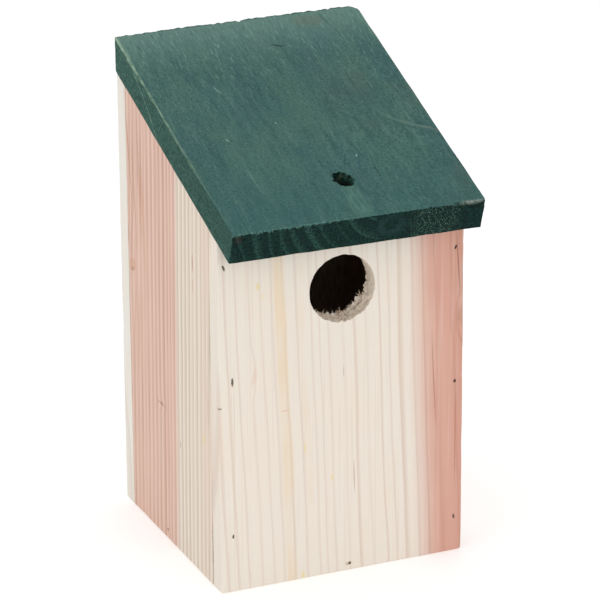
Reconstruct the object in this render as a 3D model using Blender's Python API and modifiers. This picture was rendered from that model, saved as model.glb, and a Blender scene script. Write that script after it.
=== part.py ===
"""A wooden nest box for small garden birds, built from six boards, brads, screws, pins and a hanger plate.

Units are metres and +Z is up. The origin is the centre of the base, +X is to the right of somebody who faces
the entrance, and the front board's face looks along -Y. Every board and every fastener is its own closed
object. Pieces that touch on the real box keep a small gap here.
"""

import math

import bmesh
import bpy
from mathutils import Vector

MM = 0.001
GAP = 0.3 * MM
PAST = 5 * MM  # how far a cutter runs past the face that it opens

# The box
BOX_WIDTH = 120 * MM
BOX_DEPTH = 120 * MM
WALL = 10 * MM
ARRIS = 0.6 * MM  # rounding of a sawn board's long edges
ENTRANCE_DIAMETER = 32 * MM
ENTRANCE_HEIGHT = 138.8 * MM

# The roof, one thick board that falls towards the front
ROOF_WIDTH = 121 * MM
ROOF_THICKNESS = 15.7 * MM
ROOF_SLOPE = math.radians(20)
ROOF_OVERHANG = 15.2 * MM
ROOF_FRONT_HEIGHT = 164.6 * MM  # underside, at the front edge
ROOF_ARRIS = 1.2 * MM

# Brads, and the places of their heads
BRAD_LENGTH = 30 * MM
BRAD_SHANK = 0.7 * MM
BRAD_HEAD = 1.1 * MM
BRAD_HEAD_HEIGHT = 0.8 * MM
BRAD_POINT = 2 * MM
BRAD_SINK = 0.4 * MM
BRAD_CLEARANCE = 0.2 * MM
BRAD_STEPS = 10
FRONT_BRADS = {  # (across, height) on the front board
    "left_top": (-57 * MM, 157 * MM),
    "left_middle": (-53.5 * MM, 102.5 * MM),
    "left_bottom": (-54 * MM, 27.5 * MM),
    "right_top": (56 * MM, 150 * MM),
    "right_middle": (56 * MM, 85 * MM),
    "right_bottom": (56 * MM, 17.5 * MM),
    "floor": (3.5 * MM, 3.5 * MM),
}
BACK_BRADS = {  # (across, height) on the back board
    "left_top": (-55 * MM, 175 * MM),
    "left_middle": (-54.5 * MM, 100 * MM),
    "left_bottom": (-55.5 * MM, 27 * MM),
    "right_top": (55.5 * MM, 172 * MM),
    "right_middle": (55 * MM, 97 * MM),
    "right_bottom": (54.5 * MM, 25 * MM),
    "floor": (-2 * MM, 4.5 * MM),
}
SIDE_BRAD_PLACE = (6 * MM, 5 * MM)  # (depth, height) on each side board, into the floor

# The screw that holds the roof down
SCREW_PLACE = (2.8 * MM, -55.2 * MM)
SCREW_LENGTH = 25 * MM
SCREW_SHANK = 1.5 * MM
SCREW_THREAD = 2 * MM
SCREW_PITCH = 2.2 * MM
SCREW_PLAIN = 6 * MM  # plain length under the head
SCREW_HEAD = 3.9 * MM
SCREW_RIM = 0.4 * MM
SCREW_TOP = 185.6 * MM
SCREW_CLEARANCE = 0.3 * MM
DRIVE_WIDTH = 1.1 * MM
DRIVE_SPAN = 4.6 * MM
DRIVE_DEPTH = 1.9 * MM

# The two pins that locate the back of the roof
PIN_RADIUS = 2 * MM
PIN_LENGTH = 20 * MM
PIN_IN_ROOF = 8 * MM
PIN_ACROSS = 40 * MM
PIN_CHAMFER = 0.5 * MM

# The keyhole plate that the box hangs by, let into the back board
PLATE_SIZE = (62 * MM, 26 * MM)
PLATE_THICKNESS = 1.5 * MM
PLATE_CORNER = 6 * MM
PLATE_HEIGHT = 186 * MM
PLATE_SINK = 0.2 * MM
KEYHOLE_RADIUS = 4.5 * MM
KEYHOLE_SLOT = 2.3 * MM
KEYHOLE_RISE = 9 * MM
KEYHOLE_DROP = 4.5 * MM  # the round hole's centre, below the plate's centre
POCKET_SIZE = (14 * MM, 21 * MM)
POCKET_DEPTH = 5 * MM
HANGER_SCREW_ACROSS = 23.5 * MM
HANGER_SCREW_LENGTH = 7.5 * MM
HANGER_SCREW_SHANK = 1.1 * MM
HANGER_SCREW_HEAD = 2.6 * MM

# Derived places
FRONT_FACE = -BOX_DEPTH / 2
BACK_FACE = BOX_DEPTH / 2
SIDE_FACE = BOX_WIDTH / 2
INNER_DEPTH = BOX_DEPTH / 2 - WALL
INNER_WIDTH = BOX_WIDTH / 2 - WALL
ROOF_FRONT = FRONT_FACE - ROOF_OVERHANG
ROOF_REACH = BACK_FACE - ROOF_FRONT
TALLEST = ROOF_FRONT_HEIGHT + ROOF_REACH * math.tan(ROOF_SLOPE) + ROOF_THICKNESS
SCREW_CONE = SCREW_HEAD - SCREW_SHANK  # a 90 degree countersink is as deep as it is wide
PIN_TOP = ROOF_FRONT_HEIGHT + (ROOF_REACH - WALL / 2) * math.tan(ROOF_SLOPE) + PIN_IN_ROOF
PLATE_FACE = BACK_FACE - PLATE_SINK


def clear_scene():
    for item in list(bpy.data.objects):
        bpy.data.objects.remove(item, do_unlink=True)


def new_collection(name):
    collection = bpy.data.collections.new(name)
    bpy.context.scene.collection.children.link(collection)
    return collection


def make_material(name, colour, roughness, metallic=0.0):
    material = bpy.data.materials.new(name)
    material.use_nodes = True
    shader = material.node_tree.nodes["Principled BSDF"]
    shader.inputs["Base Color"].default_value = (*colour, 1)
    shader.inputs["Roughness"].default_value = roughness
    shader.inputs["Metallic"].default_value = metallic
    return material


def place(mesh, name, collection, material=None):
    """A new object in a collection. An object with no material is a cutter, and isn't rendered."""
    piece = bpy.data.objects.new(name, mesh)
    collection.objects.link(piece)
    if material:
        mesh.materials.append(material)
    else:
        piece.hide_render = True
        piece.display_type = "WIRE"
    return piece


def block(name, low, high, collection, material=None, corner=0.0):
    """A box between two corners. A corner radius rounds its four edges that run along Y."""
    low, high = Vector(low), Vector(high)
    bm = bmesh.new()
    bmesh.ops.create_cube(bm, size=1)
    bmesh.ops.scale(bm, vec=high - low, verts=bm.verts)
    bmesh.ops.translate(bm, vec=(low + high) / 2, verts=bm.verts)
    if corner:
        along_y = [edge for edge in bm.edges if abs(edge.verts[0].co.y - edge.verts[1].co.y) > GAP]
        bmesh.ops.bevel(bm, geom=along_y, offset=corner, segments=5, profile=0.5, affect="EDGES")
    mesh = bpy.data.meshes.new(name)
    bm.to_mesh(mesh)
    bm.free()
    return place(mesh, name, collection, material)


def turned(name, profile, collection, material=None, steps=16):
    """A turned piece from a profile of (radius, height) points, listed from its top to its bottom."""
    mesh = bpy.data.meshes.new(name)
    points = [(radius, 0, height) for radius, height in profile]
    edges = [(index, index + 1) for index in range(len(points) - 1)]
    mesh.from_pydata(points, edges, [])
    piece = place(mesh, name, collection, material)
    turn = piece.modifiers.new("Turn", "SCREW")
    turn.steps = steps
    turn.render_steps = steps
    turn.use_merge_vertices = True
    turn.merge_threshold = 0.01 * MM
    return piece


def aim(piece, location, direction=(0, 0, 1)):
    """Puts a turned piece's top centre at a place, with its axis pointing out along a direction."""
    piece.location = location
    piece.rotation_euler = Vector((0, 0, 1)).rotation_difference(Vector(direction)).to_euler()
    return piece


def cut(piece, cutter):
    boolean = piece.modifiers.new(cutter.name, "BOOLEAN")
    boolean.operation = "DIFFERENCE"
    boolean.object = cutter


def round_edges(piece, width):
    bevel = piece.modifiers.new("Arris", "BEVEL")
    bevel.width = width
    bevel.segments = 2
    bevel.limit_method = "ANGLE"
    bevel.angle_limit = math.radians(30)


def cylinder_profile(radius, top, bottom):
    return [(0, top), (radius, top), (radius, bottom), (0, bottom)]


def brad_profile():
    return [
        (0, 0),
        (BRAD_HEAD, 0),
        (BRAD_HEAD, -BRAD_HEAD_HEIGHT),
        (BRAD_SHANK, -BRAD_HEAD_HEIGHT),
        (BRAD_SHANK, BRAD_POINT - BRAD_LENGTH),
        (0, -BRAD_LENGTH),
    ]


def brad_hole_profile():
    head_bottom = -BRAD_HEAD_HEIGHT - BRAD_CLEARANCE
    bottom = -BRAD_LENGTH - BRAD_CLEARANCE
    return [
        (0, PAST),
        (BRAD_HEAD + BRAD_CLEARANCE, PAST),
        (BRAD_HEAD + BRAD_CLEARANCE, head_bottom),
        (BRAD_SHANK + BRAD_CLEARANCE, head_bottom),
        (BRAD_SHANK + BRAD_CLEARANCE, bottom),
        (0, bottom),
    ]


def roof_screw_profile():
    """A countersunk wood screw: head, plain neck, a ridge for each turn of thread, and a point."""
    neck_bottom = -SCREW_RIM - SCREW_CONE - SCREW_PLAIN
    profile = [(0, 0), (SCREW_HEAD, 0), (SCREW_HEAD, -SCREW_RIM), (SCREW_SHANK, -SCREW_RIM - SCREW_CONE)]
    ridges = int((SCREW_LENGTH + neck_bottom) / SCREW_PITCH) - 1
    for ridge in range(ridges):
        valley = neck_bottom - ridge * SCREW_PITCH
        profile.append((SCREW_SHANK, valley))
        profile.append((SCREW_THREAD, valley - SCREW_PITCH / 2))
    profile.append((SCREW_SHANK, neck_bottom - ridges * SCREW_PITCH))
    profile.append((0, -SCREW_LENGTH))
    return profile


def roof_screw_hole_profile():
    """The countersunk hole, which runs up past the roof's sloping top."""
    head = SCREW_HEAD + SCREW_CLEARANCE
    shank = SCREW_THREAD + SCREW_CLEARANCE
    rim_bottom = -SCREW_RIM - SCREW_CLEARANCE
    return [
        (0, ROOF_THICKNESS),
        (head, ROOF_THICKNESS),
        (head, rim_bottom),
        (shank, rim_bottom - head + shank),
        (shank, -SCREW_LENGTH - 2 * SCREW_CLEARANCE),
        (0, -SCREW_LENGTH - 2 * SCREW_CLEARANCE),
    ]


def hanger_screw_profile(clearance=0.0):
    """A small countersunk screw. With a clearance it's the hole that the screw goes in."""
    head = HANGER_SCREW_HEAD + clearance
    shank = HANGER_SCREW_SHANK + clearance
    bottom = -HANGER_SCREW_LENGTH - clearance
    if clearance:
        rim = [(0, PAST), (head, PAST), (head, 0)]
    else:
        rim = [(0, 0), (head, 0)]
    return rim + [(shank, shank - head), (shank, bottom + shank), (0, bottom)]


def pin_profile():
    inner = PIN_RADIUS - PIN_CHAMFER
    return [
        (0, 0),
        (inner, 0),
        (PIN_RADIUS, -PIN_CHAMFER),
        (PIN_RADIUS, PIN_CHAMFER - PIN_LENGTH),
        (inner, -PIN_LENGTH),
        (0, -PIN_LENGTH),
    ]


def add_brad(name, head_centre, outward, boards):
    """One brad, set just below the outer board's face, and the hole that it makes in the boards."""
    inward = Vector(outward) * -BRAD_SINK
    location = Vector(head_centre) + inward
    aim(turned(name, brad_profile(), parts, brad_steel, BRAD_STEPS), location, outward)
    hole = turned(name + "_hole", brad_hole_profile(), cutters, steps=BRAD_STEPS)
    aim(hole, location, outward)
    for board in boards:
        cut(board, hole)


def make_walls():
    """The four upright boards, sawn off under the roof's slope, with the entrance bored in the front one."""
    boards = {
        "front_board": block(
            "front_board",
            (-SIDE_FACE, FRONT_FACE, 0),
            (SIDE_FACE, -INNER_DEPTH, TALLEST),
            parts,
            front_wood,
        ),
        "back_board": block(
            "back_board",
            (-SIDE_FACE, INNER_DEPTH, 0),
            (SIDE_FACE, BACK_FACE, TALLEST),
            parts,
            back_wood,
        ),
    }
    for name, side in (("left_side_board", -1), ("right_side_board", 1)):
        edges = sorted((side * SIDE_FACE, side * INNER_WIDTH))
        low = (edges[0], GAP - INNER_DEPTH, 0)
        high = (edges[1], INNER_DEPTH - GAP, TALLEST)
        boards[name] = block(name, low, high, parts, side_wood)

    above_walls = block(
        "above_walls",
        (-BOX_WIDTH, -BOX_DEPTH, -GAP),
        (BOX_WIDTH, 2 * BOX_DEPTH, TALLEST),
        cutters,
    )
    above_walls.location = (0, ROOF_FRONT, ROOF_FRONT_HEIGHT)
    above_walls.rotation_euler.x = ROOF_SLOPE
    for board in boards.values():
        cut(board, above_walls)
        round_edges(board, ARRIS)

    entrance = turned(
        "entrance",
        cylinder_profile(ENTRANCE_DIAMETER / 2, PAST, -WALL - PAST),
        cutters,
        steps=48,
    )
    aim(entrance, (0, FRONT_FACE, ENTRANCE_HEIGHT), (0, -1, 0))
    cut(boards["front_board"], entrance)
    return boards


def make_floor():
    floor = block(
        "floor_board",
        (GAP - INNER_WIDTH, GAP - INNER_DEPTH, 0),
        (INNER_WIDTH - GAP, INNER_DEPTH - GAP, WALL),
        parts,
        floor_wood,
    )
    round_edges(floor, ARRIS)
    return floor


def make_roof():
    """The roof board, square at its front end and sawn upright behind, level with the back board."""
    roof = block(
        "roof_board",
        (-ROOF_WIDTH / 2, 0, 0),
        (ROOF_WIDTH / 2, 2 * BOX_DEPTH, ROOF_THICKNESS),
        parts,
        roof_stain,
    )
    roof.location = (0, ROOF_FRONT, ROOF_FRONT_HEIGHT)
    roof.rotation_euler.x = ROOF_SLOPE
    behind = block(
        "behind_roof",
        (-BOX_WIDTH, BACK_FACE, 0),
        (BOX_WIDTH, 3 * BOX_DEPTH, 2 * TALLEST),
        cutters,
    )
    cut(roof, behind)
    round_edges(roof, ROOF_ARRIS)
    return roof


def make_roof_screw(roof, front_board):
    location = (*SCREW_PLACE, SCREW_TOP)
    screw = aim(turned("roof_screw", roof_screw_profile(), parts, screw_steel), location)
    hole = aim(turned("roof_screw_hole", roof_screw_hole_profile(), cutters), location)
    cut(roof, hole)
    cut(front_board, hole)
    half_spans = ((DRIVE_SPAN / 2, DRIVE_WIDTH / 2), (DRIVE_WIDTH / 2, DRIVE_SPAN / 2))
    for index, (across, along) in enumerate(half_spans):
        slot = block(f"drive_slot_{index}", (-across, -along, -DRIVE_DEPTH), (across, along, PAST), cutters)
        slot.location = location
        cut(screw, slot)


def make_roof_pins(roof, back_board):
    """Two pins that stand in the back board's top edge and enter blind holes under the roof."""
    for name, side in (("left_roof_pin", -1), ("right_roof_pin", 1)):
        location = (side * PIN_ACROSS, BACK_FACE - WALL / 2, PIN_TOP)
        aim(turned(name, pin_profile(), parts, pin_steel), location)
        hole_profile = cylinder_profile(PIN_RADIUS + GAP, GAP, -PIN_LENGTH - GAP)
        hole = aim(turned(name + "_hole", hole_profile, cutters), location)
        cut(roof, hole)
        cut(back_board, hole)


def rounded_plate(name, size, depth_range, collection, material=None, corner=PLATE_CORNER):
    """An upright plate behind the box, centred on the hanger's height."""
    half_width, half_height = size[0] / 2, size[1] / 2
    low = (-half_width, depth_range[0], PLATE_HEIGHT - half_height)
    high = (half_width, depth_range[1], PLATE_HEIGHT + half_height)
    return block(name, low, high, collection, material, corner)


def make_hanger(back_board):
    """The keyhole plate in its rebate, with a pocket behind it for the head of the wall screw."""
    plate_back = PLATE_FACE - PLATE_THICKNESS
    plate = rounded_plate("hanger_plate", PLATE_SIZE, (plate_back, PLATE_FACE), parts, zinc)

    rebate_size = (PLATE_SIZE[0] + 2 * GAP, PLATE_SIZE[1] + 2 * GAP)
    rebate_bottom = plate_back - GAP
    rebate = rounded_plate("hanger_rebate", rebate_size, (rebate_bottom, BACK_FACE + PAST), cutters)
    pocket_bottom = rebate_bottom - POCKET_DEPTH
    pocket = rounded_plate("hanger_pocket", POCKET_SIZE, (pocket_bottom, BACK_FACE), cutters)
    cut(back_board, rebate)
    cut(back_board, pocket)

    round_height = PLATE_HEIGHT - KEYHOLE_DROP
    slot_top = round_height + KEYHOLE_RISE
    for name, radius, height in (
        ("keyhole_round", KEYHOLE_RADIUS, round_height),
        ("keyhole_end", KEYHOLE_SLOT, slot_top),
    ):
        bore = turned(name, cylinder_profile(radius, PAST, -PAST), cutters, steps=24)
        cut(plate, aim(bore, (0, PLATE_FACE, height), (0, 1, 0)))
    slot = block(
        "keyhole_slot",
        (-KEYHOLE_SLOT, PLATE_FACE - PAST, round_height),
        (KEYHOLE_SLOT, PLATE_FACE + PAST, slot_top),
        cutters,
    )
    cut(plate, slot)

    for name, side in (("left_hanger_screw", -1), ("right_hanger_screw", 1)):
        location = (side * HANGER_SCREW_ACROSS, PLATE_FACE, PLATE_HEIGHT)
        aim(turned(name, hanger_screw_profile(), parts, screw_steel, steps=12), location, (0, 1, 0))
        hole = turned(name + "_hole", hanger_screw_profile(BRAD_CLEARANCE), cutters, steps=12)
        aim(hole, location, (0, 1, 0))
        cut(plate, hole)
        cut(back_board, hole)


def make_brads(boards, floor):
    neighbours = {"left": boards["left_side_board"], "right": boards["right_side_board"], "floor": floor}
    faces = (
        ("front", FRONT_BRADS, FRONT_FACE, -1),
        ("back", BACK_BRADS, BACK_FACE, 1),
    )
    for face, places, depth, outward in faces:
        for spot, (across, height) in places.items():
            held = neighbours[spot.split("_")[0]]
            add_brad(
                f"{face}_brad_{spot}",
                (across, depth, height),
                (0, outward, 0),
                (boards[f"{face}_board"], held),
            )
    for name, side in (("left", -1), ("right", 1)):
        add_brad(
            f"{name}_brad_floor",
            (side * SIDE_FACE, *SIDE_BRAD_PLACE),
            (side, 0, 0),
            (boards[f"{name}_side_board"], floor),
        )


def shade():
    """Smooth shading on round faces, with every sharp edge kept."""
    for piece in parts.objects:
        piece.data.shade_smooth()
        piece.data.set_sharp_from_angle(angle=math.radians(30))


clear_scene()
parts = new_collection("birdhouse")
cutters = new_collection("cutters")

front_wood = make_material("front_wood", (0.80, 0.71, 0.60), 0.75)
side_wood = make_material("side_wood", (0.68, 0.50, 0.40), 0.75)
back_wood = make_material("back_wood", (0.75, 0.66, 0.55), 0.75)
floor_wood = make_material("floor_wood", (0.76, 0.64, 0.50), 0.8)
roof_stain = make_material("roof_stain", (0.055, 0.14, 0.12), 0.6)
brad_steel = make_material("brad_steel", (0.35, 0.33, 0.30), 0.4, 1.0)
screw_steel = make_material("screw_steel", (0.55, 0.55, 0.54), 0.35, 1.0)
pin_steel = make_material("pin_steel", (0.5, 0.5, 0.5), 0.4, 1.0)
zinc = make_material("zinc", (0.62, 0.63, 0.64), 0.4, 1.0)

walls = make_walls()
floor_board = make_floor()
roof_board = make_roof()
make_roof_screw(roof_board, walls["front_board"])
make_roof_pins(roof_board, walls["back_board"])
make_hanger(walls["back_board"])
make_brads(walls, floor_board)
shade()
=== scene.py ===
"""The looks of a wooden nest box for small garden birds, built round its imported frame.

Units are metres and +Z is up. Lengths inside the materials' node trees are in millimetres.
"""

import math

import bmesh
import bpy
import numpy as np
from mathutils import Matrix, Vector


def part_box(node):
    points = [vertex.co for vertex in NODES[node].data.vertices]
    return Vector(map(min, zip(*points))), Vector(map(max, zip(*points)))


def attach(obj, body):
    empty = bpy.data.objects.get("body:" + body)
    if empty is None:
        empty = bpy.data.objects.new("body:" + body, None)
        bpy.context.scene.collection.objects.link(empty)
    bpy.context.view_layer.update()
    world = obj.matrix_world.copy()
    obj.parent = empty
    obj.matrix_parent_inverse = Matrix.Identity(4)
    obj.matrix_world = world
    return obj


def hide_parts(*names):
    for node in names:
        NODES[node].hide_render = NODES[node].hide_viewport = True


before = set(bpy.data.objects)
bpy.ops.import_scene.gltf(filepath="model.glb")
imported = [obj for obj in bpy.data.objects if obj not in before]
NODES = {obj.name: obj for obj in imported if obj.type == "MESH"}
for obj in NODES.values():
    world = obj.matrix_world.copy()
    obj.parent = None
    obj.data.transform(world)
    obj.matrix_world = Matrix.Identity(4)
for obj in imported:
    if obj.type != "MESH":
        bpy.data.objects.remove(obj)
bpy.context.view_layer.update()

MM = 0.001

# The boards' places, from the frame
FRONT_LOW, FRONT_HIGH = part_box("front_board")
BACK_LOW, BACK_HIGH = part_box("back_board")
FLOOR_LOW, FLOOR_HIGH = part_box("floor_board")
ROOF_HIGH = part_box("roof_board")[1]
SCREW_LOW, SCREW_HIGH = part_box("roof_screw")
PLATE_LOW, PLATE_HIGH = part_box("hanger_plate")
SEAM = 0.05 * MM  # half the crack that shows where two boards meet

# The roof board's own frame: across, along its slope from the lower front edge, and out of its underside
ROOF_SLOPE = math.radians(20)
ROOF_THICKNESS = 15.7 * MM
ROOF_FRONT = Vector((0, -75.2 * MM, 164.6 * MM))
ALONG_SLOPE = Vector((0, math.cos(ROOF_SLOPE), math.sin(ROOF_SLOPE)))
OUT_OF_SLOPE = Vector((0, -math.sin(ROOF_SLOPE), math.cos(ROOF_SLOPE)))
ROOF_HALF_WIDTH = ROOF_HIGH.x
ROOF_LENGTH = (BACK_HIGH.y - ROOF_FRONT.y) / math.cos(ROOF_SLOPE)

# The entrance, and the hole over the roof screw
ENTRANCE_RADIUS = 16 * MM
ENTRANCE = Vector((0, FRONT_LOW.y, 138.8 * MM))
SCREW_TOP = Vector(((SCREW_LOW.x + SCREW_HIGH.x) / 2, (SCREW_LOW.y + SCREW_HIGH.y) / 2, SCREW_HIGH.z))
SCREW_HOLE_RADIUS = 4.2 * MM

# The crack that has opened between the sides and the front, at its widest and from the ground up
CRACK = 0.8 * MM
CRACK_HEIGHT = 38 * MM

# How the boards' meshes are made
GRID = 1.4 * MM
ARRIS = 0.7 * MM
ROOF_ARRIS = 0.75 * MM
ROOF_SAG = 1.0 * MM

# The slots over the brads' heads: half the width and half the height in millimetres, and the turn in radians
FRONT_SLOTS = {
    "front_brad_left_top": (0.6, 1.5, 0.35),
    "front_brad_left_middle": (0.55, 2.1, 0.05),
    "front_brad_left_bottom": (0.6, 1.1, -0.1),
    "front_brad_right_top": (0.6, 1.0, -0.3),
    "front_brad_right_middle": (0.6, 1.0, 0.0),
    "front_brad_right_bottom": (0.55, 1.4, 0.15),
    "front_brad_floor": (0.7, 0.75, 0.0),
}
BACK_SLOTS = {
    "back_brad_left_top": (0.65, 1.3, -0.45),
    "back_brad_left_middle": (0.6, 1.1, -0.15),
    "back_brad_left_bottom": (0.6, 1.4, 0.15),
    "back_brad_right_top": (0.6, 1.2, 0.45),
    "back_brad_right_middle": (0.65, 1.2, -0.45),
    "back_brad_right_bottom": (0.6, 1.1, -0.15),
    "back_brad_floor": (0.7, 0.9, 0.15),
}
LEFT_SLOTS = {"left_brad_floor": (0.5, 0.9, 0.3)}
RIGHT_SLOTS = {"right_brad_floor": (0.6, 1.1, 0.2)}

# The camera
CAMERA_AZIMUTH = math.radians(-23.32)
CAMERA_ELEVATION = math.radians(20.96)
CAMERA_ROLL = math.radians(-0.37)
CAMERA_DISTANCE = 1.728
CAMERA_TARGET = Vector((5.3 * MM, 0, 111.5 * MM))
CAMERA_LENS = 224.15


# ---------------------------------------------------------------- shapes


def smooth_noise(points, wavelength, seed, waves=18):
    """Smooth noise of about -1 to 1 at each point, made of waves in scattered directions."""
    rng = np.random.default_rng(seed)
    directions = rng.normal(size=(waves, 3))
    directions /= np.linalg.norm(directions, axis=1)[:, None]
    lengths = wavelength * rng.uniform(0.6, 1.6, waves)
    phases = rng.uniform(0, 2 * np.pi, waves)
    angles = np.asarray(points) @ (directions / lengths[:, None]).T * 2 * np.pi + phases
    return np.sin(angles).sum(axis=1) / math.sqrt(2 * waves)


def graded(low, high, edge, step):
    """Places from low to high, a step apart, and closer together within an edge's width of both ends."""
    near = np.array([0, 0.35, 0.7]) * edge
    inner = np.linspace(low + edge, high - edge, max(2, round((high - low - 2 * edge) / step) + 1))
    return np.concatenate([low + near, inner, (high - near)[::-1]])


def lattice_box(sides):
    """The surface of a box as a grid of quads, from the places of its grid lines along X, Y and Z."""
    found, points, faces = {}, [], []

    def point_at(spot):
        if spot not in found:
            found[spot] = len(points)
            points.append([sides[axis][spot[axis]] for axis in range(3)])
        return found[spot]

    for axis in range(3):
        across, along = (axis + 1) % 3, (axis + 2) % 3
        for end in (0, len(sides[axis]) - 1):
            for i in range(len(sides[across]) - 1):
                for j in range(len(sides[along]) - 1):
                    quad = []
                    for step_i, step_j in ((0, 0), (1, 0), (1, 1), (0, 1)):
                        spot = [0, 0, 0]
                        spot[axis], spot[across], spot[along] = end, i + step_i, j + step_j
                        quad.append(point_at(tuple(spot)))
                    faces.append(quad if end else quad[::-1])
    return np.array(points), faces


def round_arrises(points, low, high, radius):
    """Rounds the edges of a box's surface. The radius may differ from point to point."""
    radius = np.broadcast_to(np.reshape(radius, (-1, 1)), (len(points), 1))
    inner = np.clip(points, low + radius, high - radius)
    away = points - inner
    length = np.linalg.norm(away, axis=1, keepdims=True)
    return inner + away * radius / np.maximum(length, 1e-9)


def new_piece(name, points, faces, material, body="box"):
    mesh = bpy.data.meshes.new(name)
    mesh.from_pydata([tuple(point) for point in points], [], faces)
    mesh.validate()
    if material:
        mesh.materials.append(material)
    piece = bpy.data.objects.new(name, mesh)
    bpy.context.scene.collection.objects.link(piece)
    if body:
        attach(piece, body)
    return piece


def apply_modifiers(piece):
    graph = bpy.context.evaluated_depsgraph_get()
    mesh = bpy.data.meshes.new_from_object(piece.evaluated_get(graph))
    piece.modifiers.clear()
    piece.data = mesh


def carve(piece, cutters):
    """Cuts the cutters out of the piece for good, and removes them."""
    for cutter in cutters:
        boolean = piece.modifiers.new(cutter.name, "BOOLEAN")
        boolean.operation = "DIFFERENCE"
        boolean.object = cutter
    apply_modifiers(piece)
    for cutter in cutters:
        bpy.data.objects.remove(cutter)


def shade(piece, sharp_angle=35):
    piece.data.shade_smooth()
    piece.data.set_sharp_from_angle(angle=math.radians(sharp_angle))


def roof_sag(x, y):
    """How far the roof board has settled at a place: it lies lowest at its front right corner."""
    across = np.clip((x + ROOF_HALF_WIDTH) / (2 * ROOF_HALF_WIDTH), 0, 1)
    forward = np.clip((BACK_HIGH.y - y) / (BACK_HIGH.y - ROOF_FRONT.y), 0, 1)
    return ROOF_SAG * across**1.3 * forward


def underside(x, y):
    """The height of the roof board's underside over a place."""
    return ROOF_FRONT.z + (y - ROOF_FRONT.y) * math.tan(ROOF_SLOPE) - roof_sag(x, y)


def make_board(name, low, high, material, seed, sloping=True, chips=0.25):
    """A planed board with worn arrises. A sloping one is sawn off level with the roof's underside."""
    low, high = np.array(low), np.array(high)
    points, faces = lattice_box([graded(low[axis], high[axis], ARRIS * 1.6, GRID) for axis in range(3)])
    wear = 0.75 + 0.45 * smooth_noise(points, 22 * MM, seed) + 0.6 * np.exp(-points[:, 2] / (3 * MM))
    nicks = np.clip(smooth_noise(points, 3.5 * MM, seed + 1) - 0.75, 0, 1) * chips
    points = round_arrises(points, low, high, ARRIS * np.clip(wear + 3 * nicks, 0.35, 1.9))
    if sloping:
        share = (points[:, 2] - low[2]) / (high[2] - low[2])
        tops = underside(points[:, 0], points[:, 1]) - SEAM
        points[:, 2] += (tops - high[2]) * share
    return new_piece(name, points, faces, material)


def rough_bore(name, centre, axis, reach, radius_at, around, depth_step):
    """A closed tube to cut a rough hole with. reach is how far it runs behind and in front of its centre, along
    the axis; radius_at gives its radii from arrays of angles and distances along the axis."""
    axis = Vector(axis).normalized()
    turn = Vector((0, 0, 1)).rotation_difference(axis).to_matrix()
    depths = np.linspace(-reach[0], reach[1], max(2, round(sum(reach) / depth_step)) + 1)
    angles = np.linspace(0, 2 * np.pi, around, endpoint=False)
    angle_grid, depth_grid = np.meshgrid(angles, depths)
    radii = radius_at(angle_grid.ravel(), depth_grid.ravel())
    ring = np.stack(
        [np.cos(angle_grid.ravel()) * radii, np.sin(angle_grid.ravel()) * radii, depth_grid.ravel()], axis=1
    )
    points = ring @ np.array(turn).T + np.array(centre)
    faces = [list(range(around))[::-1], [(len(depths) - 1) * around + index for index in range(around)]]
    for level in range(len(depths) - 1):
        start = level * around
        for index in range(around):
            following = (index + 1) % around
            faces.append([start + index, start + following, start + around + following, start + around + index])
    return new_piece(name, points, faces, None, body=None)


# ---------------------------------------------------------------- materials


def linear(red, green, blue):
    """A colour given in sRGB from 0 to 255, as the shader wants it."""
    shares = [value / 255 for value in (red, green, blue)]
    values = [share / 12.92 if share < 0.04045 else ((share + 0.055) / 1.055) ** 2.4 for share in shares]
    return (*values, 1)


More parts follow.
